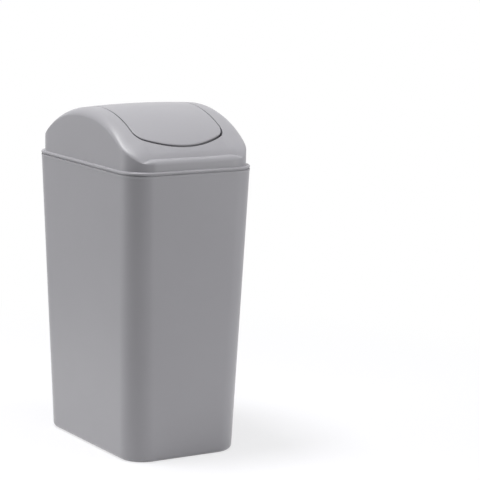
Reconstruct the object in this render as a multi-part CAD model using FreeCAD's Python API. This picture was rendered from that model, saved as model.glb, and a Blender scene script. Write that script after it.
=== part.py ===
# Swing-top waste bin: a tapered tub, a lift-off arched hood and a flap that swings in its mouth.
# Lengths are millimetres. X is the width, Y the depth with the front at -Y, and Z is up.
# The origin lies on the floor under the middle of the bin.
import FreeCAD, Part
import math
import os

# Tub: outside sizes at the rim, and how much narrower each wall stands at the foot
TUB_HEIGHT = 327.8
RIM_HALF_WIDTH = 82.0
RIM_HALF_DEPTH = 120.0
SIDE_TAPER = 10.9
END_TAPER = 12.1
TUB_CORNER = 28.5

# Tub: walls, foot and rim
TUB_WALL = 2.0
TUB_FLOOR = 2.4
FOOT_ROUND = 5.2
FOOT_RECESS = 2.6
FOOT_RING = 11.0
FLOOR_BEVEL = 3.0
BEAD_OUT = 0.3
BEAD_HEIGHT = 2.4
RIM_BEVEL = 0.8

# Hood: setbacks of its walls from the rim, heights above the rim, and the form of its top
HOOD_SIDE_SETBACK = 2.2
HOOD_END_SETBACK = 2.3
HOOD_CORNER = 31.6
CROWN_LIFT = 65.8
CROWN_FALL = 2.3
RIDGE_HALF_WIDTH = 15.0
SHOULDER_LIFT = 13.3
ARCH_SETBACK = 3.5
SHOULDER_RISE = 4.4
SHOULDER_RUN = 4.6
HOOD_WALL = 2.0
SIDE_ROUND = 12.5
INNER_BEVEL_SHARE = 0.64
SHOULDER_ROUND = 5.0

# Hood: collar over the rim and skirt inside it
SHADOW_GAP = 1.4
COLLAR_HEIGHT = 2.4
COLLAR_BEVEL = 1.2
SEAT_SETBACK = 1.2
LOCATING_DEPTH = 10.0
LOCATING_CLEARANCE = 0.4

# Mouth of the hood, as borders inside its walls, and the walls that hang from its edge
MOUTH_SIDE_BORDER = 22.2
MOUTH_END_BORDER = 17.7
MOUTH_BOW = 111.0
MOUTH_CORNER = 16.5
CHEEK_WALL = 2.0
CHEEK_DROP = 22.6
MOUTH_LIP = 5.8

# Pivots: pins on the flap in sockets on the cheeks
HINGE_DROP = 11.6
PIN_RADIUS = 3.5
PIN_CLEARANCE = 0.05
PIN_OVERHANG = 0.6
SOCKET_RADIUS = 6.6
SOCKET_BOSS = 2.0
SNAP_PINCH = 1.3
COLLAR_PLAY = 0.4
PIN_COLLAR_RADIUS = 5.6

# Flap
SIDE_GAP = 1.0
END_GAP = 2.4
FLAP_WALL = 2.0
FLAP_SKIRT = 19.0
FLAP_SKIRT_SETBACK = 30.0
FLAP_SKIRT_END = 10.0
FLAP_SKIRT_ROUND = 5.0
FLAP_LIP = 5.5

# Every cut runs past the face that it opens by this much, and places this close are one place
OVERRUN = 20.0
TIGHT = OVERRUN / 1e4

# Plan sizes that follow from the sizes above
FOOT_HALF_WIDTH = RIM_HALF_WIDTH - SIDE_TAPER
FOOT_HALF_DEPTH = RIM_HALF_DEPTH - END_TAPER
HOOD_HALF_WIDTH = RIM_HALF_WIDTH - HOOD_SIDE_SETBACK
HOOD_HALF_DEPTH = RIM_HALF_DEPTH - HOOD_END_SETBACK
MOUTH_HALF_WIDTH = HOOD_HALF_WIDTH - MOUTH_SIDE_BORDER
MOUTH_HALF_LENGTH = HOOD_HALF_DEPTH - MOUTH_END_BORDER
FLAP_SKIRT_HALF_LENGTH = MOUTH_HALF_LENGTH - FLAP_SKIRT_SETBACK

# Heights that follow from the sizes above
FLOOR_TOP = FOOT_RECESS + TUB_FLOOR
LOCATING_BASE = TUB_HEIGHT - LOCATING_DEPTH
COLLAR_BASE = TUB_HEIGHT + SHADOW_GAP
SHOULDER_HEIGHT = TUB_HEIGHT + SHOULDER_LIFT
CROWN_HEIGHT = TUB_HEIGHT + CROWN_LIFT
HINGE_HEIGHT = CROWN_HEIGHT - HINGE_DROP

# Arch of the hood: it rises from just inside the ends at shoulder height to the crown
ARCH_RISE = CROWN_HEIGHT - SHOULDER_HEIGHT
ARCH_RADIUS = ((HOOD_HALF_DEPTH - ARCH_SETBACK) ** 2 + ARCH_RISE ** 2) / (2 * ARCH_RISE)
ARCH_AXIS = CROWN_HEIGHT - ARCH_RADIUS
CROWN_LEAN = math.atan(CROWN_FALL / (HOOD_HALF_WIDTH - RIDGE_HALF_WIDTH / 2))

X_AXIS = FreeCAD.Vector(1, 0, 0)
ORIGIN = FreeCAD.Vector(0, 0, 0)


def at(x, y, z):
    """Point at x, y, z."""
    return FreeCAD.Vector(x, y, z)


def line(start, end):
    """Straight edge between two points."""
    return Part.LineSegment(start, end).toShape()


def arc(start, middle, end):
    """Circular edge through three points."""
    return Part.Arc(start, middle, end).toShape()


def middle_of(edge):
    """Point half way along an edge."""
    return edge.valueAt((edge.FirstParameter + edge.LastParameter) / 2)


def rounded_outline(half_width, half_depth, corner, z):
    """Closed rectangle with round corners, level at height z."""
    flat_x = half_width - corner
    flat_y = half_depth - corner
    diagonal = corner * math.sqrt(0.5)
    edges = []
    for turn, (side_x, side_y) in enumerate(((1, 1), (-1, 1), (-1, -1), (1, -1))):
        on_side = at(side_x * half_width, side_y * flat_y, z)
        on_end = at(side_x * flat_x, side_y * half_depth, z)
        bend = at(side_x * (flat_x + diagonal), side_y * (flat_y + diagonal), z)
        if turn % 2:
            edges.append(arc(on_end, bend, on_side))
            edges.append(line(on_side, at(side_x * half_width, -side_y * flat_y, z)))
        else:
            edges.append(arc(on_side, bend, on_end))
            edges.append(line(on_end, at(-side_x * flat_x, side_y * half_depth, z)))
    return Part.Wire(edges)


def bowed_outline(half_width, half_length, bow, corner, z):
    """Closed outline with straight sides, bowed ends and round corners, level at height z."""
    bow_centre = half_length - bow
    corner_x = half_width - corner
    corner_y = bow_centre + math.sqrt((bow - corner) ** 2 - corner_x ** 2)
    lean = math.atan2(corner_x, corner_y - bow_centre)
    half_lean = (lean + math.pi / 2) / 2
    join_x = bow * math.sin(lean)
    join_y = bow_centre + bow * math.cos(lean)
    bend_x = corner_x + corner * math.sin(half_lean)
    bend_y = corner_y + corner * math.cos(half_lean)
    edges = []
    for end in (1, -1):
        right = at(end * half_width, end * corner_y, z)
        left = at(-end * half_width, end * corner_y, z)
        right_join = at(end * join_x, end * join_y, z)
        left_join = at(-end * join_x, end * join_y, z)
        edges.append(arc(right, at(end * bend_x, end * bend_y, z), right_join))
        edges.append(arc(right_join, at(0, end * half_length, z), left_join))
        edges.append(arc(left_join, at(-end * bend_x, end * bend_y, z), left))
        edges.append(line(left, at(-end * half_width, -end * corner_y, z)))
    return Part.Wire(edges)


def upright(outline, top):
    """Solid from a level outline straight up to height top."""
    base = outline.BoundBox.ZMin
    return Part.Face(outline).extrude(at(0, 0, top - base))


def across(points_and_arcs, half_width):
    """Solid made by sweeping a closed profile in the YZ plane across the bin."""
    face = Part.Face(Part.Wire(points_and_arcs))
    face.translate(at(-half_width, 0, 0))
    return face.extrude(at(2 * half_width, 0, 0))


def level_edges(solid, z):
    """Edges that lie at height z."""
    found = []
    for edge in solid.Edges:
        if abs(edge.BoundBox.ZMin - z) < TIGHT and abs(edge.BoundBox.ZMax - z) < TIGHT:
            found.append(edge)
    return found


def tapered(low, high, inset):
    """Solid between two heights that follows the tub's taper, moved inwards by inset."""
    sizes = []
    for z in (low, high):
        share = z / TUB_HEIGHT
        sizes.append(FOOT_HALF_WIDTH + share * (RIM_HALF_WIDTH - FOOT_HALF_WIDTH) - inset)
        sizes.append(FOOT_HALF_DEPTH + share * (RIM_HALF_DEPTH - FOOT_HALF_DEPTH) - inset)
    low_x, low_y, high_x, high_y = sizes
    block = Part.makeWedge(-low_x, low, -low_y, -high_y, -high_x, low_x, high, low_y, high_y, high_x)
    block.rotate(ORIGIN, X_AXIS, 90)
    leaning = [edge for edge in block.Edges if edge.BoundBox.ZLength > TIGHT]
    return block.makeFillet(TUB_CORNER - inset, leaning)


def rim_outline(grow, z):
    """Outline of the rim, moved outwards by grow."""
    return rounded_outline(RIM_HALF_WIDTH + grow, RIM_HALF_DEPTH + grow, TUB_CORNER + grow, z)


def make_tub():
    """Tapered tub with a rim bead and a foot ring round a recessed underside."""
    shell = tapered(0, TUB_HEIGHT, 0)
    shell = shell.makeFillet(FOOT_ROUND, level_edges(shell, 0))
    bead_base = TUB_HEIGHT - BEAD_HEIGHT
    bead = upright(rim_outline(BEAD_OUT, bead_base), TUB_HEIGHT)
    bead = bead.makeChamfer(BEAD_OUT, level_edges(bead, bead_base))
    shell = shell.fuse(bead).removeSplitter()
    shell = shell.makeChamfer(RIM_BEVEL, level_edges(shell, TUB_HEIGHT))
    inside = tapered(FLOOR_TOP, TUB_HEIGHT + OVERRUN, TUB_WALL)
    inside = inside.makeChamfer(FLOOR_BEVEL, level_edges(inside, FLOOR_TOP))
    recess = tapered(-OVERRUN, FOOT_RECESS, FOOT_RING)
    return shell.cut(inside).cut(recess).removeSplitter()


def crown_drop(x):
    """How far the crown of the arch has fallen at distance x from the middle, past the soft ridge."""
    return math.tan(CROWN_LEAN) * (x - RIDGE_HALF_WIDTH / 2)


def on_arch(x, radius):
    """Point at distance x from the middle and at a radius from the arch's axis."""
    return at(x, 0, ARCH_AXIS + radius)


def turned(profile):
    """Solid made by turning a closed profile half way round the arch's axis."""
    axis = on_arch(0, 0)
    face = Part.Face(Part.Wire(profile))
    face.rotate(axis, X_AXIS, -90)
    return face.revolve(axis, X_AXIS, 180)


def arched_block():
    """Arched form of the hood: two gentle slopes with a soft ridge between and rounds along both sides."""
    round_x = HOOD_HALF_WIDTH - SIDE_ROUND
    round_radius = ARCH_RADIUS - crown_drop(round_x) - SIDE_ROUND / math.cos(CROWN_LEAN)
    half_turn = (CROWN_LEAN + math.pi / 2) / 2
    ridge = on_arch(RIDGE_HALF_WIDTH, ARCH_RADIUS - crown_drop(RIDGE_HALF_WIDTH))
    join = on_arch(round_x + SIDE_ROUND * math.sin(CROWN_LEAN), round_radius + SIDE_ROUND * math.cos(CROWN_LEAN))
    bend = on_arch(round_x + SIDE_ROUND * math.sin(half_turn), round_radius + SIDE_ROUND * math.cos(half_turn))
    side = on_arch(HOOD_HALF_WIDTH, round_radius)
    foot = on_arch(HOOD_HALF_WIDTH, 0)
    other_ridge, other_join, other_bend, other_side, other_foot = [
        at(-point.x, 0, point.z) for point in (ridge, join, bend, side, foot)]
    return turned([
        arc(other_ridge, on_arch(0, ARCH_RADIUS), ridge),
        line(ridge, join),
        arc(join, bend, side),
        line(side, foot),
        line(foot, other_foot),
        line(other_foot, other_side),
        arc(other_side, other_bend, other_join),
        line(other_join, other_ridge),
    ])


def arched_hollow(wall):
    """Space under the arch at wall's distance: two slopes that follow the crown, bevelled at the sides."""
    half_width = HOOD_HALF_WIDTH - HOOD_WALL
    bevel = SIDE_ROUND * INNER_BEVEL_SHARE
    bevel_x = half_width - bevel
    eaves = ARCH_RADIUS - wall - crown_drop(bevel_x)
    half = [on_arch(0, ARCH_RADIUS - wall), on_arch(bevel_x, eaves), on_arch(half_width, eaves - bevel)]
    foot = [on_arch(half_width, 0), on_arch(-half_width, 0)]
    other_half = [at(-point.x, 0, point.z) for point in reversed(half)]
    return turned(Part.makePolygon(half + foot + other_half).Edges)


def arch_height(y, drop):
    """Height of the arch's middle line at depth y, lowered by drop."""
    return ARCH_AXIS - drop + math.sqrt(ARCH_RADIUS ** 2 - y ** 2)


def shoulder_block(inset, base):
    """Block with sloping eaves that makes the shoulders at the front and rear, moved inwards by inset."""
    slope = SHOULDER_RISE / SHOULDER_RUN
    eaves = SHOULDER_HEIGHT - inset * (math.hypot(1, slope) - slope)
    half_width = HOOD_HALF_WIDTH - inset
    half_depth = HOOD_HALF_DEPTH - inset
    corner = HOOD_CORNER - inset
    ridge = rounded_outline(half_width - SHOULDER_RUN, half_depth - SHOULDER_RUN, corner - SHOULDER_RUN,
                            eaves + SHOULDER_RISE)
    roof = Part.makeLoft([rounded_outline(half_width, half_depth, corner, eaves), ridge], True, True)
    return upright(rounded_outline(half_width, half_depth, corner, base), eaves).fuse(roof).removeSplitter()


def mouth_outline(grow, z):
    """Outline of the hood's mouth, moved outwards by grow."""
    return bowed_outline(MOUTH_HALF_WIDTH + grow, MOUTH_HALF_LENGTH + grow, MOUTH_BOW + grow, MOUTH_CORNER + grow, z)


def below_cheeks():
    """Space under the bowed lower edge of the walls that hang round the mouth."""
    middle = at(0, 0, CROWN_HEIGHT - CHEEK_DROP)
    end_height = arch_height(MOUTH_HALF_LENGTH, MOUTH_LIP)
    sag = middle.z - end_height
    bow = (MOUTH_HALF_LENGTH ** 2 + sag ** 2) / (2 * sag)
    reach = MOUTH_HALF_LENGTH + CHEEK_WALL + OVERRUN
    reach_height = middle.z - bow + math.sqrt(bow ** 2 - reach ** 2)
    front = at(0, -reach, reach_height)
    rear = at(0, reach, reach_height)
    low_front = at(0, -reach, LOCATING_BASE - OVERRUN)
    low_rear = at(0, reach, LOCATING_BASE - OVERRUN)
    edges = [arc(front, middle, rear), line(rear, low_rear), line(low_rear, low_front), line(low_front, front)]
    return across(edges, HOOD_HALF_WIDTH + OVERRUN)


def pivot_cylinder(radius, start, end):
    """Cylinder on the hinge axis between two distances from the middle."""
    return Part.makeCylinder(radius, end - start, at(start, 0, HINGE_HEIGHT), X_AXIS)


def make_collar():
    """Collar that covers the rim with a shadow gap under it, and the seat that rests on the rim."""
    top = COLLAR_BASE + COLLAR_HEIGHT
    collar = upright(rim_outline(BEAD_OUT, COLLAR_BASE), top)
    collar = collar.makeChamfer(COLLAR_BEVEL, level_edges(collar, top))
    seat = upright(rim_outline(-SEAT_SETBACK, TUB_HEIGHT), COLLAR_BASE + COLLAR_HEIGHT / 2)
    return collar.fuse(seat)


def add_sockets(hood):
    """Adds a boss with a socket and a snap-in slot to each cheek."""
    outer = MOUTH_HALF_WIDTH + CHEEK_WALL + SOCKET_BOSS
    slot_width = 2 * PIN_RADIUS - SNAP_PINCH
    for side in (1, -1):
        boss = pivot_cylinder(SOCKET_RADIUS, MOUTH_HALF_WIDTH, outer)
        hole = pivot_cylinder(PIN_RADIUS + PIN_CLEARANCE, MOUTH_HALF_WIDTH - OVERRUN / 2, outer + OVERRUN / 2)
        slot = Part.makeBox(outer - MOUTH_HALF_WIDTH + OVERRUN, slot_width, CHEEK_DROP + OVERRUN,
                            at(MOUTH_HALF_WIDTH - OVERRUN / 2, -slot_width / 2, HINGE_HEIGHT - CHEEK_DROP - OVERRUN))
        if side < 0:
            boss, hole, slot = [tool.mirror(ORIGIN, X_AXIS) for tool in (boss, hole, slot)]
        hood = hood.fuse(boss).cut(hole).cut(slot)
    return hood


def hood_plan(inset, base):
    """Upright block on the hood's plan, moved inwards by inset."""
    plan = rounded_outline(HOOD_HALF_WIDTH - inset, HOOD_HALF_DEPTH - inset, HOOD_CORNER - inset, base)
    return upright(plan, CROWN_HEIGHT + OVERRUN)


def make_hood():
    """Arched hood with its collar, locating skirt, mouth, cheeks and pivot sockets."""
    low = LOCATING_BASE - OVERRUN
    shoulders = shoulder_block(0, TUB_HEIGHT)
    shoulders = shoulders.makeFillet(SHOULDER_ROUND, level_edges(shoulders, SHOULDER_HEIGHT))
    outer = arched_block().common(hood_plan(0, TUB_HEIGHT)).fuse(shoulders)
    hollow = arched_hollow(HOOD_WALL).common(hood_plan(HOOD_WALL, low)).fuse(shoulder_block(HOOD_WALL, low))
    skirt = tapered(LOCATING_BASE, TUB_HEIGHT, TUB_WALL + LOCATING_CLEARANCE)
    shell = outer.fuse(make_collar()).fuse(skirt).cut(hollow)
    cheeks = upright(mouth_outline(CHEEK_WALL, LOCATING_BASE), CROWN_HEIGHT + OVERRUN)
    cheeks = cheeks.common(arched_hollow(HOOD_WALL / 2)).cut(below_cheeks())
    mouth = upright(mouth_outline(0, LOCATING_BASE), CROWN_HEIGHT + OVERRUN)
    return add_sockets(shell.fuse(cheeks).cut(mouth).removeSplitter())


def flap_outline(inset, z):
    """Outline of the flap inside the mouth, moved inwards by inset."""
    return bowed_outline(MOUTH_HALF_WIDTH - SIDE_GAP - inset, MOUTH_HALF_LENGTH - END_GAP - inset,
                         MOUTH_BOW - END_GAP - inset, MOUTH_CORNER - SIDE_GAP - inset, z)


def below_flap():
    """Space under the flap's edges: deep skirts beside the pivots and a shallow lip at each end."""
    reach = MOUTH_HALF_LENGTH + OVERRUN
    skirt_end = FLAP_SKIRT_HALF_LENGTH
    lip_start = FLAP_SKIRT_HALF_LENGTH + FLAP_SKIRT_END
    lip_middle = (lip_start + reach) / 2
    edges = []
    for side in (-1, 1):
        far = at(0, side * reach, arch_height(reach, FLAP_LIP))
        bend = at(0, side * lip_middle, arch_height(lip_middle, FLAP_LIP))
        lip = at(0, side * lip_start, arch_height(lip_start, FLAP_LIP))
        skirt = at(0, side * skirt_end, arch_height(skirt_end, FLAP_SKIRT))
        run = [arc(far, bend, lip), line(lip, skirt)]
        edges.extend(run if side < 0 else reversed(run))
        if side < 0:
            middle = at(0, 0, arch_height(0, FLAP_SKIRT))
            edges.append(arc(skirt, middle, at(0, skirt_end, skirt.z)))
    low_front = at(0, -reach, LOCATING_BASE)
    low_rear = at(0, reach, LOCATING_BASE)
    edges.append(line(far, low_rear))
    edges.append(line(low_rear, low_front))
    edges.append(line(low_front, at(0, -reach, far.z)))
    space = across(edges, HOOD_HALF_WIDTH)
    bends = []
    for edge in space.Edges:
        distance = abs(middle_of(edge).y)
        if edge.BoundBox.XLength > HOOD_HALF_WIDTH and skirt_end - TIGHT < distance < lip_start + TIGHT:
            bends.append(edge)
    return space.makeFillet(FLAP_SKIRT_ROUND, bends)


def make_pins():
    """Pivot pins of the flap, each with a collar that keeps the flap centred between the cheeks."""
    face = MOUTH_HALF_WIDTH - SIDE_GAP
    tip = MOUTH_HALF_WIDTH + CHEEK_WALL + SOCKET_BOSS + PIN_OVERHANG
    pin = pivot_cylinder(PIN_RADIUS, face - FLAP_WALL / 2, tip)
    collar = pivot_cylinder(PIN_COLLAR_RADIUS, face - FLAP_WALL / 2, MOUTH_HALF_WIDTH - COLLAR_PLAY)
    right = pin.fuse(collar)
    return right, right.mirror(ORIGIN, X_AXIS)


def make_flap():
    """Flap that fills the mouth: an arched skin with skirts, end lips and pivot pins."""
    top = CROWN_HEIGHT + OVERRUN
    block = upright(flap_outline(0, LOCATING_BASE), top).common(arched_block())
    pocket = upright(flap_outline(FLAP_WALL, LOCATING_BASE - OVERRUN), top).common(arched_hollow(FLAP_WALL))
    flap = block.cut(pocket).cut(below_flap())
    for pin in make_pins():
        flap = flap.fuse(pin)
    return flap.removeSplitter()


def main():
    """Builds each piece and writes it to its own file."""
    os.makedirs("parts", exist_ok=True)
    pieces = {
        "bin_body": make_tub(),
        "hood": make_hood(),
        "swing_flap": make_flap(),
    }
    for name, shape in pieces.items():
        shape.exportStep("parts/" + name + ".step")
        print(name, shape.isValid(), len(shape.Solids), "solid,", round(shape.Volume / 1000, 1), "cm3")


main()
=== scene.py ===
"""Swing-top waste bin: the three mouldings as detailed meshes, their finish, the studio and the camera."""
import logging
import math
from dataclasses import dataclass, field
from enum import Enum

import bmesh
import bpy
import numpy as np
from mathutils import Matrix, Vector


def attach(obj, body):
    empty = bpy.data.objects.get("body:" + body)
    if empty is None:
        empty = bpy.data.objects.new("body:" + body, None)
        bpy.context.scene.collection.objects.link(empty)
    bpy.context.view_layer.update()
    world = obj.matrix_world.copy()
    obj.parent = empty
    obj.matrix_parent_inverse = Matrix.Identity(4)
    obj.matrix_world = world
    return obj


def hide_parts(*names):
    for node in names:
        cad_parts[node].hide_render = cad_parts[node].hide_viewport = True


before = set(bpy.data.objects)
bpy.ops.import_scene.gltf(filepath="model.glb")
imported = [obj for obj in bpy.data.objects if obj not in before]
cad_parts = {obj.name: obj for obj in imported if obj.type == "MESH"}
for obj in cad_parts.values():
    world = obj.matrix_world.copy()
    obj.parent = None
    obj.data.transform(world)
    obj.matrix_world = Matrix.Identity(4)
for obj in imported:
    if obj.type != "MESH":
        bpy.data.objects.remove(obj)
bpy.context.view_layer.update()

LOG = logging.getLogger("waste_bin")
MM = 0.001


class Slot(Enum):
    """Material slots of the record."""

    BODY = "body_plastic"
    HOOD = "hood_plastic"
    FLAP = "flap_plastic"


# Outlines


@dataclass(frozen=True)
class Division:
    """How many columns each quarter of an outline has along its side, round its corner and along its end."""

    side: int = 26
    corner: int = 26
    end: int = 12


def whole_outline(quarter: np.ndarray) -> np.ndarray:
    """Mirrors a quarter outline into a closed one.

    Args:
        quarter: Rows of x, y and the outward normal, from the side's middle to the end's middle.

    Returns:
        Rows of x, y and the outward normal all the way round, each place once.
    """
    back = quarter[:0:-1]
    turns = ((quarter[:-1], 1, 1), (back, -1, 1), (quarter[:-1], -1, -1), (back, 1, -1))
    return np.concatenate([part * np.array([sx, sy, sx, sy]) for part, sx, sy in turns])


def arc_rows(centre: tuple[float, float], radius: float, angles: np.ndarray) -> np.ndarray:
    """Rows of x, y and outward normal on an arc."""
    cos, sin = np.cos(angles), np.sin(angles)
    return np.stack([centre[0] + radius * cos, centre[1] + radius * sin, cos, sin], axis=1)


def straight_rows(start: tuple[float, float], end: tuple[float, float], count: int,
                  normal: tuple[int, int]) -> np.ndarray:
    """Rows of x, y and outward normal on a straight stretch, both ends included."""
    share = np.linspace(0, 1, count + 1)[:, None]
    points = np.array(start) * (1 - share) + np.array(end) * share
    return np.concatenate([points, np.tile(np.array(normal, float), (count + 1, 1))], axis=1)


def rounded_outline(half_width: float, half_depth: float, corner: float, division: Division) -> np.ndarray:
    """Outline of a rectangle with round corners.

    Args:
        half_width: Half its size along X, in millimetres.
        half_depth: Half its size along Y.
        corner: Radius of its corners.
        division: Columns along each stretch.

    Returns:
        Rows of x, y and outward normal.
    """
    flat_x, flat_y = half_width - corner, half_depth - corner
    side = straight_rows((half_width, 0), (half_width, flat_y), division.side, (1, 0))
    bend = arc_rows((flat_x, flat_y), corner, np.linspace(0, math.pi / 2, division.corner + 1))
    end = straight_rows((flat_x, half_depth), (0, half_depth), division.end, (0, 1))
    return whole_outline(np.concatenate([side[:-1], bend[:-1], end]))


def bowed_outline(half_width: float, half_length: float, bow: float, corner: float,
                  division: Division) -> np.ndarray:
    """Outline with straight sides, bowed ends and round corners.

    Args:
        half_width: Half its size along X, in millimetres.
        half_length: Half its size along Y, to the middle of the bow.
        bow: Radius of the bowed ends.
        corner: Radius of its corners.
        division: Columns along each stretch.

    Returns:
        Rows of x, y and outward normal.
    """
    bow_centre = half_length - bow
    corner_x = half_width - corner
    corner_y = bow_centre + math.sqrt((bow - corner) ** 2 - corner_x ** 2)
    join = math.pi / 2 - math.atan2(corner_x, corner_y - bow_centre)
    side = straight_rows((half_width, 0), (half_width, corner_y), division.side, (1, 0))
    bend = arc_rows((corner_x, corner_y), corner, np.linspace(0, join, division.corner + 1))
    end = arc_rows((0, bow_centre), bow, np.linspace(join, math.pi / 2, division.end + 1))
    return whole_outline(np.concatenate([side[:-1], bend[:-1], end]))


def inset_of(points: np.ndarray, half_width: float, half_depth: float, corner: float) -> np.ndarray:
    """How far points lie inside a rectangle with round corners."""
    over_x = np.abs(points[:, 0]) - (half_width - corner)
    over_y = np.abs(points[:, 1]) - (half_depth - corner)
    outer = np.hypot(np.maximum(over_x, 0), np.maximum(over_y, 0))
    return corner - outer - np.minimum(np.maximum(over_x, over_y), 0)


def level(outline: np.ndarray, z: float | np.ndarray, shift: float | np.ndarray = 0.0) -> np.ndarray:
    """Ring of points on an outline moved outwards by shift, at height z."""
    points = outline[:, :2] + outline[:, 2:] * np.broadcast_to(shift, len(outline))[:, None]
    return np.concatenate([points, np.broadcast_to(z, len(outline))[:, None]], axis=1)


def round_steps(radius: float | np.ndarray, steps: int) -> list[tuple[float, float]]:
    """Runs along both legs of a quarter round, as pairs that go from its start to its end.

    Args:
        radius: Radius of the round, one value or one for each column.
        steps: Number of steps.

    Returns:
        Pairs of the way gone along the first leg and along the second one.
    """
    angles = [math.pi / 2 * step / steps for step in range(steps + 1)]
    return [(radius * math.sin(angle), radius * (1 - math.cos(angle))) for angle in angles]


def smooth_step(value: np.ndarray) -> np.ndarray:
    """Soft step from 0 to 1 as value goes from 0 to 1."""
    value = np.clip(value, 0, 1)
    return value * value * (3 - 2 * value)


def ramp(value: np.ndarray, start: float, end: float) -> np.ndarray:
    """Soft step from 0 to 1 as value goes from start to end."""
    return smooth_step((value - start) / (end - start))


def soft_maximum(first: np.ndarray, second: np.ndarray, blend: float) -> np.ndarray:
    """The larger of two heights, with a soft valley where they cross."""
    near = np.maximum(blend - np.abs(first - second), 0) / blend
    return np.maximum(first, second) + near * near * blend / 4


# Meshes


def spine_ring(ring: np.ndarray, reach: float) -> np.ndarray:
    """Ring folded onto a line along Y, which closes a surface in its middle."""
    folded = ring.copy()
    folded[:, 0] = 0
    folded[:, 1] = np.clip(ring[:, 1], -reach, reach)
    return folded


def loft(name: str, rings: list[np.ndarray], closed: bool) -> bpy.types.Object:
    """Makes a mesh object from rings of equal length, in millimetres.

    Args:
        name: Name of the object.
        rings: Rings in order along the wall of the moulding.
        closed: True if the last ring goes on to the first one.

    Returns:
        The object, smooth shaded, with its faces turned outwards.
    """
    count = len(rings[0])
    points = np.concatenate(rings) * MM
    faces = []
    for row in range(len(rings) if closed else len(rings) - 1):
        base, above = row * count, (row + 1) % len(rings) * count
        for column in range(count):
            beside = (column + 1) % count
            faces.append((base + column, base + beside, above + beside, above + column))
    mesh = bpy.data.meshes.new(name)
    mesh.from_pydata(points.tolist(), [], faces)
    made = bpy.data.objects.new(name, mesh)
    bpy.context.scene.collection.objects.link(made)
    tidy_mesh(made)
    return made


def tidy_mesh(piece: bpy.types.Object, crisp_angle: float = 38.0) -> None:
    """Joins doubled points, turns the faces outwards and sets soft shading with crisp edges.

    Args:
        piece: Object whose mesh is tidied.
        crisp_angle: Edges that turn by more than this many degrees stay crisp.
    """
    work = bmesh.new()
    work.from_mesh(piece.data)
    bmesh.ops.remove_doubles(work, verts=work.verts, dist=1e-6)
    bmesh.ops.dissolve_degenerate(work, edges=work.edges, dist=1e-7)
    bmesh.ops.recalc_face_normals(work, faces=work.faces)
    work.to_mesh(piece.data)
    work.free()
    piece.data.shade_smooth()
    piece.data.set_sharp_from_angle(angle=math.radians(crisp_angle))


def keep_flats_flat(piece: bpy.types.Object) -> None:
    """Weights the shading by face area, so that broad walls stay even beside their rounds."""
    weighted = piece.modifiers.new("even_walls", "WEIGHTED_NORMAL")
    weighted.keep_sharp = True


def turned_pin(name: str, start: float, profile: list[tuple[float, float]], height: float, side: int,
               segments: int = 64) -> bpy.types.Object:
    """Makes a round solid on the hinge axis.

    Args:
        name: Name of the object.
        start: Place along X of the profile's first point.
        profile: Pairs of distance along X from start, and radius.
        height: Height of the hinge axis.
        side: 1 for the right side and -1 for the left one.
        segments: Facets round the axis.

    Returns:
        The object, closed at both ends.
    """
    angles = np.linspace(0, 2 * math.pi, segments, endpoint=False)
    rings = []
    for along, radius in [(profile[0][0], 0.0), *profile, (profile[-1][0], 0.0)]:
        x = np.full(segments, side * (start + along))
        rings.append(np.stack([x, radius * np.cos(angles), height + radius * np.sin(angles)], axis=1))
    return loft(name, rings, closed=False)


def combine(target: bpy.types.Object, tool: bpy.types.Object, operation: str) -> None:
    """Joins a tool solid to a piece, or cuts it out, and removes the tool.

    Args:
        target: Piece that changes.
        tool: Closed solid.
        operation: UNION or DIFFERENCE.
    """
    step = target.modifiers.new("combine", "BOOLEAN")
    step.operation, step.object, step.solver = operation, tool, "EXACT"
    shaped = target.evaluated_get(bpy.context.evaluated_depsgraph_get())
    mesh = bpy.data.meshes.new_from_object(shaped)
    target.modifiers.remove(step)
    target.data = mesh
    bpy.data.objects.remove(tool)


# Finish


def group_with(name: str, inputs: dict[str, float],
               outputs: list[str]) -> tuple[bpy.types.NodeTree, bpy.types.Node, bpy.types.Node]:
    """Starts a shader node group.

    Args:
        name: Name of the group.
        inputs: Names of its value inputs with their defaults.
        outputs: Names of its value outputs.

    Returns:
        The group, its input node and its output node.
    """
    group = bpy.data.node_groups.new(name, "ShaderNodeTree")
    for label, value in inputs.items():
        socket = group.interface.new_socket(name=label, in_out="INPUT", socket_type="NodeSocketFloat")
        socket.default_value = value
    for label in outputs:
        group.interface.new_socket(name=label, in_out="OUTPUT", socket_type="NodeSocketFloat")
    start, end = group.nodes.new("NodeGroupInput"), group.nodes.new("NodeGroupOutput")
    start.location, end.location = (-900, 0), (500, 0)
    return group, start, end


def node(tree: bpy.types.NodeTree, kind: str, place: tuple[int, int],
         sockets: dict[str, object] | None = None, **values: object) -> bpy.types.Node:
    """Adds a node.

    Args:
        tree: Node tree that it goes into.
        kind: Type of the node.
        place: Its place in the tree's layout.
        sockets: Values of its unlinked inputs, by name.
        **values: Its properties.

    Returns:
        The node.
    """
    made = tree.nodes.new(kind)
    made.location = place
    for key, value in values.items():
        setattr(made, key, value)
    for label, value in (sockets or {}).items():
        made.inputs[label].default_value = value
    return made


def maths(tree: bpy.types.NodeTree, operation: str, first: object, second: object,
          place: tuple[int, int]) -> bpy.types.NodeSocket:
    """Adds a Math node on two sockets or numbers and returns its result."""
    made = node(tree, "ShaderNodeMath", place, operation=operation)
    for socket, value in zip(made.inputs, (first, second)):
        if isinstance(value, bpy.types.NodeSocket):
            tree.links.new(value, socket)
        else:
            socket.default_value = value
    return made.outputs[0]


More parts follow.
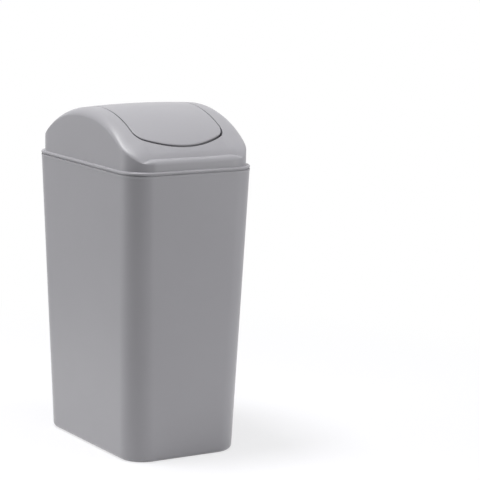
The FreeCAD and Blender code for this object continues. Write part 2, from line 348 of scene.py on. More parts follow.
def grain_group() -> bpy.types.NodeTree:
    """Fine even grain of a spark-finished mould.

    Returns:
        A group that puts out the grain's height and a mask of its hollows, used for painted shade in them.
    """
    inputs = {"Grains per metre": 1500.0, "Unevenness": 0.35}
    group, start, end = group_with("moulded_grain", inputs, ["Height", "Hollows"])
    place = node(group, "ShaderNodeTexCoord", (-900, -300))
    fine = node(group, "ShaderNodeTexNoise", (-500, 150), {"Detail": 2.0, "Roughness": 0.55})
    coarse = node(group, "ShaderNodeTexNoise", (-500, -250), {"Detail": 3.0})
    for noise in (fine, coarse):
        group.links.new(place.outputs["Object"], noise.inputs["Vector"])
    group.links.new(start.outputs["Grains per metre"], fine.inputs["Scale"])
    slower = maths(group, "MULTIPLY", start.outputs["Grains per metre"], 0.17, (-700, -250))
    group.links.new(slower, coarse.inputs["Scale"])
    uneven = maths(group, "MULTIPLY", coarse.outputs[0], start.outputs["Unevenness"], (-250, -150))
    height = maths(group, "ADD", fine.outputs[0], uneven, (0, 50))
    hollows = maths(group, "SUBTRACT", 1.0, fine.outputs[0], (0, -150))
    group.links.new(height, end.inputs["Height"])
    group.links.new(hollows, end.inputs["Hollows"])
    return group


def flow_group() -> bpy.types.NodeTree:
    """Slow shade changes where the resin ran and cooled, and faint rubbed patches.

    Returns:
        A group that puts out a shade mask and a rubbed mask.
    """
    inputs = {"Patches per metre": 9.0, "Rubbed": 0.3}
    group, start, end = group_with("resin_flow", inputs, ["Shade", "Rubbed"])
    place = node(group, "ShaderNodeTexCoord", (-900, -300))
    slow = node(group, "ShaderNodeTexNoise", (-500, 150), {"Detail": 3.0, "Distortion": 0.6})
    rubs = node(group, "ShaderNodeTexNoise", (-500, -250), {"Detail": 5.0, "Roughness": 0.62})
    for noise in (slow, rubs):
        group.links.new(place.outputs["Object"], noise.inputs["Vector"])
    group.links.new(start.outputs["Patches per metre"], slow.inputs["Scale"])
    quicker = maths(group, "MULTIPLY", start.outputs["Patches per metre"], 3.4, (-700, -250))
    group.links.new(quicker, rubs.inputs["Scale"])
    worn = node(group, "ShaderNodeMapRange", (-250, -250), {"From Min": 0.48, "From Max": 0.72},
                interpolation_type="SMOOTHSTEP")
    group.links.new(rubs.outputs[0], worn.inputs["Value"])
    rubbed = maths(group, "MULTIPLY", worn.outputs["Result"], start.outputs["Rubbed"], (0, -250))
    group.links.new(slow.outputs[0], end.inputs["Shade"])
    group.links.new(rubbed, end.inputs["Rubbed"])
    return group


def dust_group() -> bpy.types.NodeTree:
    """Thin dust on faces that look upwards.

    Returns:
        A group that puts out a dust mask.
    """
    group, start, end = group_with("settled_dust", {"Amount": 0.1}, ["Dust"])
    shape = node(group, "ShaderNodeNewGeometry", (-900, 100))
    parts = node(group, "ShaderNodeSeparateXYZ", (-700, 100))
    group.links.new(shape.outputs["Normal"], parts.inputs[0])
    upward = node(group, "ShaderNodeMapRange", (-500, 100), {"From Min": 0.35, "From Max": 1.0},
                  interpolation_type="SMOOTHSTEP")
    group.links.new(parts.outputs["Z"], upward.inputs["Value"])
    place = node(group, "ShaderNodeTexCoord", (-900, -250))
    specks = node(group, "ShaderNodeTexNoise", (-500, -250), {"Scale": 420.0, "Detail": 6.0})
    group.links.new(place.outputs["Object"], specks.inputs["Vector"])
    broken = maths(group, "MULTIPLY", upward.outputs["Result"], specks.outputs[0], (-250, 0))
    dust = maths(group, "MULTIPLY", broken, start.outputs["Amount"], (0, 0))
    group.links.new(dust, end.inputs["Dust"])
    return group


@dataclass(frozen=True)
class EffectGroups:
    """The node groups that every finish shares."""

    grain: bpy.types.NodeTree
    flow: bpy.types.NodeTree
    dust: bpy.types.NodeTree

    @classmethod
    def build(cls) -> "EffectGroups":
        """Builds each group once."""
        return cls(grain_group(), flow_group(), dust_group())


@dataclass(frozen=True)
class MouldedPlastic:
    """Satin finish of an injection-moulded piece."""

    name: str
    colour: tuple[float, float, float] = (0.352, 0.347, 0.371)
    shade_change: float = 0.035
    roughness: float = 0.38
    specular: float = 0.42
    grains: float = 1500.0
    grain_height: float = 0.00003
    grain_strength: float = 0.22
    dust: float = 0.08
    dust_colour: tuple[float, float, float] = (0.62, 0.61, 0.6)
    dust_matte: float = 0.8
    # Painted shade in the grain's hollows: its tint and how much of it the hollows get.
    hollow_shade_tint: tuple[float, float, float] = (0.93, 0.93, 0.935)
    hollow_shade_share: float = 0.6
    rub_polish: float = 0.12

    def build(self, effects: EffectGroups) -> bpy.types.Material:
        """Makes the material.

        Args:
            effects: Node groups for grain, flow and dust.

        Returns:
            The material.
        """
        material = bpy.data.materials.new(self.name)
        material.use_nodes = True
        tree = material.node_tree
        shader = tree.nodes["Principled BSDF"]
        shader.inputs["IOR"].default_value = 1.49
        shader.inputs["Specular IOR Level"].default_value = self.specular
        grain = node(tree, "ShaderNodeGroup", (-900, -300), node_tree=effects.grain)
        flow = node(tree, "ShaderNodeGroup", (-900, 100), node_tree=effects.flow)
        dust = node(tree, "ShaderNodeGroup", (-900, 400), node_tree=effects.dust)
        grain.inputs["Grains per metre"].default_value = self.grains
        dust.inputs["Amount"].default_value = self.dust

        dark = tuple(part * (1 - self.shade_change) for part in self.colour)
        pale = tuple(part * (1 + self.shade_change) for part in self.colour)
        shade = node(tree, "ShaderNodeMix", (-600, 200), {"A": (*dark, 1), "B": (*pale, 1)}, data_type="RGBA")
        tree.links.new(flow.outputs["Shade"], shade.inputs["Factor"])
        # Painted shade: the base colour is darkened in the grain's hollows.
        painted_hollow_shade = node(tree, "ShaderNodeMix", (-400, 200), {"B": (*self.hollow_shade_tint, 1)},
                    data_type="RGBA", blend_type="MULTIPLY")
        hollow_shade_mask = maths(tree, "MULTIPLY", grain.outputs["Hollows"], self.hollow_shade_share, (-600, -50))
        tree.links.new(hollow_shade_mask, painted_hollow_shade.inputs["Factor"])
        tree.links.new(shade.outputs["Result"], painted_hollow_shade.inputs["A"])
        dusty = node(tree, "ShaderNodeMix", (-200, 200), {"B": (*self.dust_colour, 1)}, data_type="RGBA")
        tree.links.new(dust.outputs["Dust"], dusty.inputs["Factor"])
        tree.links.new(painted_hollow_shade.outputs["Result"], dusty.inputs["A"])
        tree.links.new(dusty.outputs["Result"], shader.inputs["Base Color"])

        smoother = maths(tree, "MULTIPLY", flow.outputs["Rubbed"], -self.rub_polish, (-400, -50))
        rough = maths(tree, "ADD", smoother, self.roughness, (-200, -50))
        matte = maths(tree, "MULTIPLY", dust.outputs["Dust"], self.dust_matte, (-400, -200))
        tree.links.new(maths(tree, "ADD", rough, matte, (0, -100)), shader.inputs["Roughness"])

        bump = node(tree, "ShaderNodeBump", (-200, -350),
                    {"Strength": self.grain_strength, "Distance": self.grain_height})
        tree.links.new(grain.outputs["Height"], bump.inputs["Height"])
        tree.links.new(bump.outputs["Normal"], shader.inputs["Normal"])
        return material


def dress(piece: bpy.types.Object, body: str, slot: Slot, material: bpy.types.Material) -> None:
    """Gives a piece its finish and the body it rides on."""
    piece.data.materials.clear()
    piece.data.materials.append(material)
    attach(piece, body)
    keep_flats_flat(piece)


# Tub


@dataclass
class Tub:
    """Tapered tub with a soft rim band, a rounded foot and a recessed underside. Lengths are millimetres."""

    height: float = 327.8
    rim_half_width: float = 82.0
    rim_half_depth: float = 120.0
    foot_half_width: float = 71.1
    foot_half_depth: float = 107.9
    corner: float = 28.5
    wall: float = 2.0
    floor_top: float = 5.0
    foot_round: float = 5.2
    foot_recess: float = 2.6
    foot_ring: float = 11.0
    recess_round: float = 1.2
    ring_round: float = 0.7
    floor_round: float = 4.0
    band_out: float = 0.3
    band_height: float = 2.4
    band_step: float = 0.6
    rim_round: float = 0.8
    lip_round: float = 0.6
    division: Division = field(default_factory=Division)

    def outline(self, z: float, shift: float) -> np.ndarray:
        """Outline of the tapered wall at height z, moved outwards by shift."""
        share = z / self.height
        half_width = self.foot_half_width + share * (self.rim_half_width - self.foot_half_width) + shift
        half_depth = self.foot_half_depth + share * (self.rim_half_depth - self.foot_half_depth) + shift
        return rounded_outline(half_width, half_depth, self.corner + shift, self.division)

    def ring(self, z: float, shift: float = 0.0) -> np.ndarray:
        """Ring at height z, moved outwards from the outer wall by shift."""
        return level(self.outline(z, shift), z)

    def underside(self) -> list[np.ndarray]:
        """Rings from the middle of the underside to the foot's round."""
        inner = -self.foot_ring
        hollow = inner - self.recess_round
        rings = [self.ring(self.foot_recess, inner - 14), self.ring(self.foot_recess, hollow)]
        for across, up in round_steps(self.recess_round, 4)[1:]:
            rings.append(self.ring(self.foot_recess - up, hollow + across))
        for down, across in round_steps(self.ring_round, 4):
            rings.append(self.ring(self.ring_round - down, inner + across))
        reach = self.foot_half_depth - self.foot_half_width
        return [spine_ring(rings[0], reach), *rings]

    def outside(self) -> list[np.ndarray]:
        """Rings from the foot's round up the outer wall and over the rim band."""
        rings = []
        for across, up in round_steps(self.foot_round, 10):
            rings.append(self.ring(up, across - self.foot_round))
        band_base = self.height - self.band_height
        for z in (self.foot_round + 1.5, 12, 26, 60, 110, 170, 230, 280, 308, band_base - 4, band_base - 0.8):
            rings.append(self.ring(z))
        for share in np.linspace(0, 1, 5):
            z = band_base + self.band_step * (share - 0.5)
            rings.append(self.ring(z, self.band_out * smooth_step(share)))
        for up, across in round_steps(self.rim_round, 6):
            rings.append(self.ring(self.height - self.rim_round + up, self.band_out - across))
        return rings

    def inside(self) -> list[np.ndarray]:
        """Rings from the rim's top down the inner wall to the middle of the floor."""
        rings = []
        for across, down in round_steps(self.lip_round, 4):
            rings.append(self.ring(self.height - down, self.lip_round - self.wall - across))
        for z in (325, 318, 300, 260, 200, 130, 60, 24):
            rings.append(self.ring(z, -self.wall))
        for down, across in round_steps(self.floor_round, 8):
            rings.append(self.ring(self.floor_top + self.floor_round - down, -self.wall - across))
        rings.append(self.ring(self.floor_top, -self.wall - 20))
        reach = self.foot_half_depth - self.foot_half_width
        return [*rings, spine_ring(rings[-1], reach)]

    def build(self, material: bpy.types.Material) -> list[bpy.types.Object]:
        """Builds and dresses the tub.

        Args:
            material: Its finish.

        Returns:
            The pieces made.
        """
        tub = loft("tub", [*self.underside(), *self.outside(), *self.inside()], closed=False)
        dress(tub, "bin_body", Slot.BODY, material)
        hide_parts("bin_body")
        return [tub]


# Arch that the hood and the flap share


@dataclass(frozen=True)
class Arch:
    """Arched crown: an arc from front to rear that also falls gently to both sides, in millimetres."""

    crown_height: float = 393.6
    rise: float = 52.5
    half_length: float = 114.2
    crown_radius: float = 1080.0

    @property
    def radius(self) -> float:
        """Radius of the middle line from front to rear."""
        return (self.half_length ** 2 + self.rise ** 2) / (2 * self.rise)

    def height(self, points: np.ndarray, lower: float = 0.0) -> np.ndarray:
        """Height of the arch above points, moved inwards by lower."""
        fall = self.crown_radius - np.sqrt(self.crown_radius ** 2 - points[:, 0] ** 2)
        reach = self.radius - fall - lower
        return self.crown_height - self.radius + np.sqrt(np.maximum(reach ** 2 - points[:, 1] ** 2, 1))

    def middle_height(self, y: np.ndarray, drop: float = 0.0) -> np.ndarray:
        """Height of the middle line at depth y, lowered by drop."""
        return self.crown_height - self.radius - drop + np.sqrt(self.radius ** 2 - np.asarray(y) ** 2)


@dataclass(frozen=True)
class Mouth:
    """Mouth of the hood as seen from above. Lengths are millimetres."""

    half_width: float = 57.6
    half_length: float = 100.0
    bow: float = 111.0
    corner: float = 16.5

    def outline(self, division: Division, side_inset: float = 0.0, end_inset: float = 0.0) -> np.ndarray:
        """Outline inside the mouth at two clearances, one at the sides and one at the ends."""
        return bowed_outline(self.half_width - side_inset, self.half_length - end_inset,
                             self.bow - end_inset, self.corner - side_inset, division)


@dataclass(frozen=True)
class Pivot:
    """Hinge of the flap: pins with collars, in bossed sockets on the cheeks. Lengths are millimetres."""

    height: float = 382.0
    pin_radius: float = 3.5
    clearance: float = 0.05
    overhang: float = 0.6
    collar_radius: float = 5.6
    collar_play: float = 0.4
    boss_radius: float = 6.6
    boss_out: float = 2.0
    slot_width: float = 5.7
    cheek_wall: float = 2.0


# Hood


@dataclass
class Hood:
    """Lift-off hood: collar, arched top, front and rear ledges, mouth, cheeks and sockets."""

    arch: Arch
    mouth: Mouth
    pivot: Pivot
    tub: Tub
    half_width: float = 79.8
    half_depth: float = 117.7
    corner: float = 31.6
    wall: float = 2.0
    ledge_height: float = 344.1
    ledge_rise: float = 0.7
    ledge_run: float = 9.0
    ledge_fade: float = 2.5
    ledge_turn: tuple[float, float] = (0.62, 0.87)
    foot_run: float = 14.0
    foot_depth: float = 2.2
    foot_start: float = 7.5
    foot_limit: float = 1.3
    foot_margin: tuple[float, float] = (4.0, 30.0)
    bulge: float = 4.0
    bulge_run: float = 31.0
    bulge_power: float = 1.5
    bulge_turn: tuple[float, float] = (0.6, 0.65)
    wall_lift: float = 1.3
    wall_blend: float = 8.0
    valley: float = 0.4
    side_round: float = 12.5
    end_round: float = 4.5
    round_turn: tuple[float, float] = (0.15, 0.65)
    crown_drop: float = 9.0
    corner_drop: float = 5.0
    gap: float = 1.4
    collar_height: float = 2.4
    collar_round: float = 1.3
    collar_under_round: float = 0.3
    seat_setback: float = 1.2
    skirt_depth: float = 10.0
    skirt_clearance: float = 0.4
    mouth_round: float = 0.9
    cheek_drop: float = 22.6
    cheek_lip: float = 5.8
    division: Division = field(default_factory=Division)

    def __post_init__(self) -> None:
        """Works out the outlines and the round along the top edge of each column."""
        self.plan = rounded_outline(self.half_width, self.half_depth, self.corner, self.division)
        self.opening = self.mouth.outline(self.division)
        towards_end = ramp(self.turn_of(self.plan), *self.round_turn)
        self.edge_round = self.side_round + (self.end_round - self.side_round) * towards_end
        along = np.abs(self.plan[:, 1]) / (self.half_depth - self.corner)
        drop = self.crown_drop + (self.corner_drop - self.crown_drop) * smooth_step(along)
        side_top = self.arch.height(self.plan) + self.wall_lift * self.corner_bulge(self.plan) - drop
        front_top = np.full(len(self.plan), self.ledge_height - self.end_round)
        self.wall_top = soft_maximum(side_top, front_top, self.wall_blend)
        self.edge_drop = self.roof(self.plan) - self.wall_top

    def turn_of(self, points: np.ndarray) -> np.ndarray:
        """How far points lie round the corner, from 0 beside it to 1 in front of it."""
        over_x = np.maximum(np.abs(points[:, 0]) - (self.half_width - self.corner), 0)
        over_y = np.maximum(np.abs(points[:, 1]) - (self.half_depth - self.corner), 0)
        return np.where(over_y > 0, np.arctan2(over_y, over_x) / (math.pi / 2), 0)

    def corner_bulge(self, points: np.ndarray) -> np.ndarray:
        """How far the soft corners rise above the arch."""
        turn = self.turn_of(points)
        inset = inset_of(points, self.half_width, self.half_depth, self.corner)
        full, fading = self.bulge_turn
        around = ramp(turn, 0, full) * ramp(1 - turn, 0, 1 - fading)
        return self.bulge * around * np.clip(1 - inset / self.bulge_run, 0, 1) ** self.bulge_power

    def ledge(self, points: np.ndarray, lower: float = 0.0) -> np.ndarray:
        """Height of the ledges at the front and rear above points, moved inwards by lower."""
        slope = self.ledge_rise / self.ledge_run
        inset = inset_of(points, self.half_width, self.half_depth, self.corner) - lower
        fade = self.ledge_fade * (1 - ramp(self.turn_of(points), *self.ledge_turn))
        start = self.ledge_height - fade - lower * (math.hypot(1, slope) - slope)
        return start + slope * np.clip(inset, 0, self.ledge_run)

    def slope(self, points: np.ndarray, lower: float = 0.0) -> np.ndarray:
        """Height of the arch with its steeper foot and soft corners, moved inwards by lower."""
        inset = self.half_depth - np.abs(points[:, 1])
        share = np.clip((self.foot_run - inset) / (self.foot_run - self.foot_start), 0, self.foot_limit)
        beside = ramp(self.half_width - np.abs(points[:, 0]), *self.foot_margin)
        foot = self.foot_depth * share ** 2 * beside
        return self.arch.height(points, lower) - foot + self.corner_bulge(points)

    def roof(self, points: np.ndarray, lower: float = 0.0) -> np.ndarray:
        """Height of the top without its edge rounds, moved inwards by lower."""
        return soft_maximum(self.slope(points, lower), self.ledge(points, lower), self.valley)

    def on_roof(self, points: np.ndarray, drop: float | np.ndarray = 0.0, lower: float = 0.0) -> np.ndarray:
        """Ring on the roof above points, lowered by drop."""
        return np.concatenate([points[:, :2], (self.roof(points, lower) - drop)[:, None]], axis=1)

    def rim_ring(self, z: float, shift: float) -> np.ndarray:
        """Ring at height z on the tub's rim moved outwards by shift."""
        return level(self.tub.outline(self.tub.height, shift), z)

    def collar(self) -> list[np.ndarray]:
        """Rings from the locating skirt's lower edge, past the seat and round the collar."""
        rim = self.tub.height
        low = rim - self.skirt_depth
        inset = -(self.tub.wall + self.skirt_clearance)
        skirt = [self.tub.ring(low, inset - 0.4), self.tub.ring(low + 0.4, inset),
                 self.tub.ring(rim - 0.2, inset)]
        seat = [self.rim_ring(rim, inset + 0.2), self.rim_ring(rim, -self.seat_setback),
                self.rim_ring(rim + self.gap, -self.seat_setback)]
        base, top, out = rim + self.gap, rim + self.gap + self.collar_height, self.tub.band_out
        around = []
        for across, up in round_steps(self.collar_under_round, 4):
            around.append(self.rim_ring(base + up, out - self.collar_under_round + across))
        for up, across in round_steps(self.collar_round, 6):
            around.append(self.rim_ring(top - self.collar_round + up, out - across))
        return [*skirt, *seat, *around]

    def walls(self) -> list[np.ndarray]:
        """Rings from the collar up the outer wall and over the round along its top edge."""
        top = self.tub.height + self.gap + self.collar_height
        rings = []
        for across, up in round_steps(0.7, 4):
            rings.append(level(self.plan, top + up, 0.7 - across))
        for share in (0.2, 0.5, 0.8):
            rings.append(level(self.plan, top + 0.7 + share * (self.wall_top - top - 0.7)))
        for up, across in round_steps(1.0, 14):
            points = level(self.plan, 0, -across * self.edge_round)
            rings.append(self.on_roof(points, self.edge_drop * (1 - up)))
        return rings

    def top(self) -> list[np.ndarray]:
        """Rings from the edge round across the ledges and the arch to the mouth, and over its edge."""
        start = level(self.plan, 0, -self.edge_round)
        end = level(self.opening, 0, self.mouth_round)
        way = np.linalg.norm((end - start)[:, :2], axis=1)
        shares = np.linspace(0, 1, 400)
        crossing = np.zeros(len(start))
        for share in shares[::-1]:
            points = start + (end - start) * share
            below = self.slope(points) < self.ledge(points)
            crossing = np.where(below, np.maximum(crossing, share), crossing)
        near = [crossing * way + offset for offset in (-1.2, -0.5, 0.0, 0.5, 1.2)]
        rings = []
        floor = np.zeros(len(start))
        for distance in near:
            floor = np.maximum(distance, floor + 0.25)
            rings.append(self.on_roof(start + (end - start) * (floor / way)[:, None]))
        for share in np.linspace(0, 1, 8)[1:]:
            along = floor + (way - floor) * share
            rings.append(self.on_roof(start + (end - start) * (along / way)[:, None]))
        for across, down in round_steps(self.mouth_round, 5)[1:]:
            rings.append(self.on_roof(level(self.opening, 0, self.mouth_round - across), down))
        return rings

    def cheek_edge(self, y: np.ndarray) -> np.ndarray:
        """Height of the cheeks' bowed lower edge at depth y."""
        middle = self.arch.crown_height - self.cheek_drop
        sag = middle - self.arch.middle_height(self.mouth.half_length, self.cheek_lip)
        bow = (self.mouth.half_length ** 2 + sag ** 2) / (2 * sag)
        return middle - bow + np.sqrt(bow ** 2 - y ** 2)

    def cheeks(self) -> list[np.ndarray]:
        """Rings down the wall round the mouth, under its edge and up its far side."""
        wall = self.pivot.cheek_wall
        upper = self.roof(level(self.opening, 0)) - self.mouth_round
        lower = self.cheek_edge(self.opening[:, 1])
        rings = [level(self.opening, upper + (lower + 0.5 - upper) * share) for share in (0.15, 0.5, 0.85)]
        for down, across in round_steps(0.5, 3):
            rings.append(level(self.opening, lower + 0.5 - down, across))
        for across, up in round_steps(0.5, 3):
            rings.append(level(self.opening, lower + up, wall - 0.5 + across))
        under = self.roof(level(self.opening, 0, wall), self.wall)
        rings.append(level(self.opening, (lower + under) / 2, wall))
        for up, across in round_steps(0.8, 3):
            points = level(self.opening, 0, wall + across)
            rings.append(self.on_roof(points, 0.8 - up, self.wall))
        return rings

    def inside(self) -> list[np.ndarray]:
        """Rings under the top, round its inner edge and down the inner wall to the skirt's lower edge."""
        edge = np.maximum(self.edge_round - self.wall, 1.5)
        start = level(self.opening, 0, self.pivot.cheek_wall + 0.8)
        end = level(self.plan, 0, -self.wall - edge)
        shares = np.linspace(0, 1, 8)[1:]
        rings = [self.on_roof(start + (end - start) * share, 0, self.wall) for share in shares]
        for across, down in round_steps(edge, 8)[1:]:
            rings.append(self.on_roof(level(self.plan, 0, -self.wall - edge + across), down, self.wall))
        low = self.tub.height - self.skirt_depth
        wall_top = self.roof(level(self.plan, 0, -self.wall), self.wall) - edge
        for share in (0.35, 0.7):
            rings.append(level(self.plan, wall_top + share * (low + 0.4 - wall_top), -self.wall))
        rings.append(level(self.plan, low + 0.4, -self.wall))
        rings.append(level(self.plan, low, -self.wall + 0.4))
        return rings

    def add_sockets(self, shell: bpy.types.Object) -> None:
        """Adds a boss to each cheek and cuts its socket and snap-in slot."""
        pivot = self.pivot
        for side in (1, -1):
            thick = pivot.cheek_wall + pivot.boss_out
            rim = 0.5
            profile = [(0.4, pivot.boss_radius), (thick - rim, pivot.boss_radius),
                       (thick, pivot.boss_radius - rim)]
            boss = turned_pin("boss", self.mouth.half_width, profile, pivot.height, side)
            combine(shell, boss, "UNION")
            bore_radius = pivot.pin_radius + pivot.clearance
            profile = [(-2.0, bore_radius), (thick + 2, bore_radius)]
            bore = turned_pin("bore", self.mouth.half_width, profile, pivot.height, side)
            combine(shell, bore, "DIFFERENCE")
            combine(shell, self.slot_cutter(side, thick), "DIFFERENCE")

    def slot_cutter(self, side: int, thick: float) -> bpy.types.Object:
        """Block that cuts the snap-in slot under a socket.

        Args:
            side: 1 for the right side and -1 for the left one.
            thick: How far the socket's boss reaches.

        Returns:
            The block, slightly flared towards its lower end.
        """
        half = self.pivot.slot_width / 2
        low = self.arch.crown_height - self.cheek_drop - 6
        rings = []
        for z, wide in ((low, half + 1.2), (self.pivot.height - 7.5, half), (self.pivot.height, half)):
            corners = [(-2, -wide), (thick + 2, -wide), (thick + 2, wide), (-2, wide)]
            rings.append(np.array([(side * (self.mouth.half_width + x), y, z) for x, y in corners]))
        ends = [np.tile(ring.mean(axis=0), (4, 1)) for ring in (rings[0], rings[-1])]
        return loft("slot", [ends[0], *rings, ends[1]], closed=False)

    def build(self, material: bpy.types.Material) -> list[bpy.types.Object]:
        """Builds and dresses the hood.

        Args:
            material: Its finish.

        Returns:
            The pieces made.
        """
        rings = [*self.collar(), *self.walls(), *self.top(), *self.cheeks(), *self.inside()]
        shell = loft("hood_shell", rings, closed=True)
        self.add_sockets(shell)
        tidy_mesh(shell)
        dress(shell, "hood", Slot.HOOD, material)
        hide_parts("hood")
        return [shell]


# Flap


@dataclass
class Flap:
    """Swing flap: arched skin, deep skirts beside the pivots, shallow end lips and pivot pins."""

    arch: Arch
    mouth: Mouth
    pivot: Pivot
    side_gap: float = 1.0
    end_gap: float = 2.4
    wall: float = 2.0
    edge_round: float = 0.9
    skirt: float = 19.0
    skirt_half_length: float = 70.0
    skirt_end: float = 10.0
    lip: float = 5.5
    lip_setback: float = 1.2
    division: Division = field(default_factory=Division)

    def outline(self, inset: float) -> np.ndarray:
        """Outline of the flap moved inwards by inset."""
        return self.mouth.outline(self.division, self.side_gap + inset, self.end_gap + inset)

    def skin(self, points: np.ndarray, drop: float | np.ndarray, lower: float) -> np.ndarray:
        """Ring on the arch above points, lowered by drop."""
        return np.concatenate([points[:, :2], (self.arch.height(points, lower) - drop)[:, None]], axis=1)

    def lower_edge(self, y: np.ndarray) -> np.ndarray:
        """Height of the skirts' and lips' lower edge at depth y."""
        past = (np.abs(y) - self.skirt_half_length + 1.5) / (self.skirt_end + 3)
        depth = self.skirt + (self.lip - self.skirt) * smooth_step(past)
        return self.arch.middle_height(y) - depth

    def undercut(self, outline: np.ndarray) -> np.ndarray:
        """Outline of the lips, set back under the flap's edge at its front and rear."""
        moved = outline.copy()
        moved[:, :2] -= outline[:, 2:] * (self.lip_setback * np.abs(outline[:, 3]) ** 2)[:, None]
        return moved

    def fill(self, outline: np.ndarray, lower: float) -> list[np.ndarray]:
        """Rings from just inside an outline to the middle line of the arch."""
        start = level(outline, 0)
        reach = self.mouth.half_length - self.mouth.half_width
        middle = spine_ring(start, reach)
        shares = (0.06, 0.14, 0.24, 0.36, 0.5, 0.64, 0.78, 0.9, 1.0)
        return [self.skin(start + (middle - start) * share, 0, lower) for share in shares]

    def rings(self) -> list[np.ndarray]:
        """Rings from the middle of the top, over the edge, round the skirts and back underneath."""
        outer, inner = self.outline(0), self.outline(self.wall)
        outer_low = self.undercut(outer)
        top = self.fill(self.outline(self.edge_round), 0)[::-1]
        for across, down in round_steps(self.edge_round, 5):
            top.append(self.skin(level(outer, 0, across - self.edge_round), down, 0))
        upper = self.arch.height(level(outer, 0)) - self.edge_round
        low = self.lower_edge(outer[:, 1])
        skirt = [level(outer, upper - 0.2)]
        skirt += [level(outer_low, upper + (low + 0.4 - upper) * share) for share in (0.3, 0.6, 0.88)]
        for down, across in round_steps(0.4, 3):
            skirt.append(level(outer_low, low + 0.4 - down, -across))
        for across, up in round_steps(0.4, 3):
            skirt.append(level(inner, low + up, 0.4 - across))
        under = self.arch.height(level(inner, 0), self.wall)
        skirt.append(level(inner, (low + under) / 2))
        for up, across in round_steps(1.0, 4):
            skirt.append(self.skin(level(inner, 0, -across), 1.0 - up, self.wall))
        return [*top, *skirt, *self.fill(self.outline(self.wall + 1.0), self.wall)]

    def pin(self, side: int) -> bpy.types.Object:
        """Pivot pin with its collar and rounded tip, on one side."""
        pivot = self.pivot
        start = self.mouth.half_width - self.side_gap - self.wall / 2
        collar_end = self.mouth.half_width - pivot.collar_play - start
        tip = self.mouth.half_width + pivot.cheek_wall + pivot.boss_out + pivot.overhang - start
        profile = [(0.0, pivot.collar_radius)]
        for along, inward in round_steps(0.4, 3):
            profile.append((collar_end - 0.4 + along, pivot.collar_radius - inward))
        profile.append((collar_end, pivot.pin_radius))
        for along, inward in round_steps(0.8, 5):
            profile.append((tip - 0.8 + along, pivot.pin_radius - inward))
        name = "flap_pin_right" if side > 0 else "flap_pin_left"
        return turned_pin(name, start, profile, pivot.height, side)

    def build(self, material: bpy.types.Material) -> list[bpy.types.Object]:
        """Builds and dresses the flap and its pins.

        Args:
            material: Their finish.

        Returns:
            The pieces made.
        """
        skin = loft("flap_skin", self.rings(), closed=False)
        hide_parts("swing_flap")
        pieces = [skin, self.pin(1), self.pin(-1)]
        for piece in pieces:
            dress(piece, "swing_flap", Slot.FLAP, material)
        return pieces


# Studio


@dataclass(frozen=True)
class SoftBox:
    """Large soft lamp that looks at the bin. Angles are degrees, and azimuth 0 is in front."""

    name: str
    azimuth: float
    elevation: float
    distance: float
    size: tuple[float, float]
    watts: float

    def build(self, target: Vector) -> bpy.types.Object:
        """Places the lamp."""
        lamp = bpy.data.lights.new(self.name, "AREA")
        lamp.shape = "RECTANGLE"
        lamp.size, lamp.size_y = self.size
        lamp.energy = self.watts
        made = bpy.data.objects.new(self.name, lamp)
        turn, lift = math.radians(self.azimuth), math.radians(self.elevation)
        away = Vector((math.sin(turn) * math.cos(lift), -math.cos(turn) * math.cos(lift), math.sin(lift)))
        made.location = target + away * self.distance
        made.rotation_euler = away.to_track_quat("Z", "Y").to_euler()
        bpy.context.scene.collection.objects.link(made)
        return made


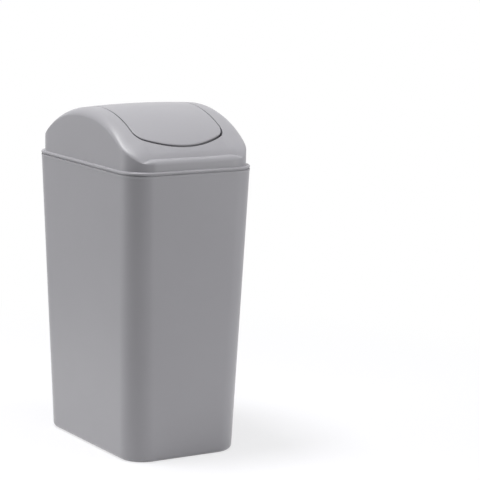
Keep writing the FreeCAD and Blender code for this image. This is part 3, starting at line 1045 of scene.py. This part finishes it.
@dataclass(frozen=True)
class Studio:
    """Pale floor, white surround and soft lamps."""

    floor_radius: float = 3.0
    floor_colour: tuple[float, float, float] = (0.30, 0.30, 0.32)
    floor_bounce: tuple[float, float, float] = (0.80, 0.80, 0.80)
    floor_glow: float = 0.70
    white_start: float = 0.35
    white_end: float = 0.8
    surround: float = 0.05
    lamps: tuple[SoftBox, ...] = (
        SoftBox("lamp_left", -120, 10, 2.2, (1.3, 1.3), 17),
        SoftBox("lamp_right", 40, 10, 2.2, (1.3, 1.3), 20),
        SoftBox("lamp_key", -106, 77, 2.2, (0.6, 0.6), 31),
        SoftBox("lamp_top", 0, 85, 2.2, (1.3, 1.3), 18),
    )

    def seen_directly(self, tree: bpy.types.NodeTree) -> bpy.types.NodeSocket:
        """Value that is 1 for rays from the camera, from gloss and through glass."""
        path = node(tree, "ShaderNodeLightPath", (-900, 300))
        kinds = ("Camera", "Glossy", "Transmission")
        camera, gloss, through = (path.outputs[f"Is {kind} Ray"] for kind in kinds)
        first = maths(tree, "MAXIMUM", camera, gloss, (-700, 300))
        return maths(tree, "MAXIMUM", first, through, (-500, 300))

    def build_floor(self) -> bpy.types.Object:
        """Makes the round floor, which keeps the bin's shadow and turns white farther out."""
        angles = np.linspace(0, 2 * math.pi, 128, endpoint=False)
        rings = []
        for radius in (0.0, 0.15, 0.4, 0.9, 1.6, self.floor_radius):
            places = [radius * np.cos(angles), radius * np.sin(angles), 0 * angles]
            rings.append(np.stack(places, axis=1) / MM)
        floor = loft("floor", rings, closed=False)
        material = bpy.data.materials.new("pale_floor")
        material.use_nodes = True
        tree = material.node_tree
        shader = tree.nodes["Principled BSDF"]
        tint = node(tree, "ShaderNodeMix", (-300, 100),
                    {"A": (*self.floor_bounce, 1), "B": (*self.floor_colour, 1)}, data_type="RGBA")
        path = node(tree, "ShaderNodeLightPath", (-500, 100))
        tree.links.new(path.outputs["Is Camera Ray"], tint.inputs["Factor"])
        tree.links.new(tint.outputs["Result"], shader.inputs["Base Color"])
        shader.inputs["Roughness"].default_value = 0.9
        shader.inputs["Specular IOR Level"].default_value = 0.1
        shader.inputs["Emission Color"].default_value = (1, 1, 1, 1)
        glow = maths(tree, "MULTIPLY", self.seen_directly(tree), self.floor_glow, (-300, 300))
        tree.links.new(glow, shader.inputs["Emission Strength"])
        white = node(tree, "ShaderNodeEmission", (0, -300))
        place = node(tree, "ShaderNodeTexCoord", (-900, -300))
        length = node(tree, "ShaderNodeVectorMath", (-700, -300), operation="LENGTH")
        tree.links.new(place.outputs["Object"], length.inputs[0])
        far = node(tree, "ShaderNodeMapRange", (-500, -300),
                   {"From Min": self.white_start, "From Max": self.white_end},
                   interpolation_type="SMOOTHSTEP")
        tree.links.new(length.outputs["Value"], far.inputs["Value"])
        share = maths(tree, "MULTIPLY", far.outputs["Result"], self.seen_directly(tree), (-300, -200))
        mix = node(tree, "ShaderNodeMixShader", (300, 0))
        tree.links.new(share, mix.inputs[0])
        tree.links.new(shader.outputs[0], mix.inputs[1])
        tree.links.new(white.outputs[0], mix.inputs[2])
        tree.links.new(mix.outputs[0], tree.nodes["Material Output"].inputs["Surface"])
        floor.data.materials.append(material)
        return floor

    def build_surround(self) -> bpy.types.World:
        """Makes the surround: white where it is seen, and dim as a light."""
        world = bpy.data.worlds.new("surround")
        bpy.context.scene.world = world
        world.use_nodes = True
        tree = world.node_tree
        shader = tree.nodes["Background"]
        shader.inputs["Color"].default_value = (1, 1, 1, 1)
        strength = maths(tree, "MAXIMUM", self.seen_directly(tree), self.surround, (-300, 200))
        tree.links.new(strength, shader.inputs["Strength"])
        return world

    def build(self) -> list[bpy.types.Object]:
        """Builds the studio.

        Returns:
            The floor and the lamps.
        """
        self.build_surround()
        target = Vector((0, 0, 0.2))
        return [self.build_floor(), *[lamp.build(target) for lamp in self.lamps]]


@dataclass(frozen=True)
class PhotoCamera:
    """Camera at the photograph's viewing angle. Angles are radians, and place is millimetres."""

    yaw: float = 0.55341
    pitch: float = 0.17144
    roll: float = -0.01814
    place: tuple[float, float, float] = (-1221.5, -2191.4, 670.4)
    focal_pixels: float = 2193.1
    picture_pixels: int = 480
    sensor: float = 36.0

    def build(self) -> bpy.types.Object:
        """Makes the camera and gives it to the scene."""
        sin_yaw, cos_yaw = math.sin(self.yaw), math.cos(self.yaw)
        sin_pitch, cos_pitch = math.sin(self.pitch), math.cos(self.pitch)
        ahead = Vector((sin_yaw * cos_pitch, cos_yaw * cos_pitch, -sin_pitch))
        right = Vector((cos_yaw, -sin_yaw, 0))
        down = ahead.cross(right)
        rolled_right = math.cos(self.roll) * right + math.sin(self.roll) * down
        rolled_down = math.cos(self.roll) * down - math.sin(self.roll) * right
        camera = bpy.data.cameras.new("photo_camera")
        camera.sensor_width = self.sensor
        camera.lens = self.focal_pixels / self.picture_pixels * self.sensor
        camera.clip_end = 50
        made = bpy.data.objects.new("photo_camera", camera)
        turn = Matrix((rolled_right, -rolled_down, -ahead)).transposed()
        made.matrix_world = Matrix.Translation(Vector(self.place) * MM) @ turn.to_4x4()
        bpy.context.scene.collection.objects.link(made)
        bpy.context.scene.camera = made
        return made


def main() -> None:
    """Builds every sub-assembly in order and reports each piece."""
    logging.basicConfig(level=logging.INFO, format="%(name)s: %(message)s")
    bpy.context.scene.view_settings.view_transform = "Standard"
    effects = EffectGroups.build()
    arch, mouth, pivot, tub = Arch(), Mouth(), Pivot(), Tub()
    makers = (
        (tub, MouldedPlastic("tub_plastic")),
        (Hood(arch, mouth, pivot, tub), MouldedPlastic("hood_plastic")),
        (Flap(arch, mouth, pivot), MouldedPlastic("flap_plastic")),
    )
    for maker, finish in makers:
        for piece in maker.build(finish.build(effects)):
            LOG.info("%s: %d faces, %s", piece.name, len(piece.data.polygons), finish.name)
    for thing in Studio().build():
        LOG.info("studio: %s", thing.name)
    LOG.info("camera: %s", PhotoCamera().build().name)


if __name__ == "__main__":
    main()
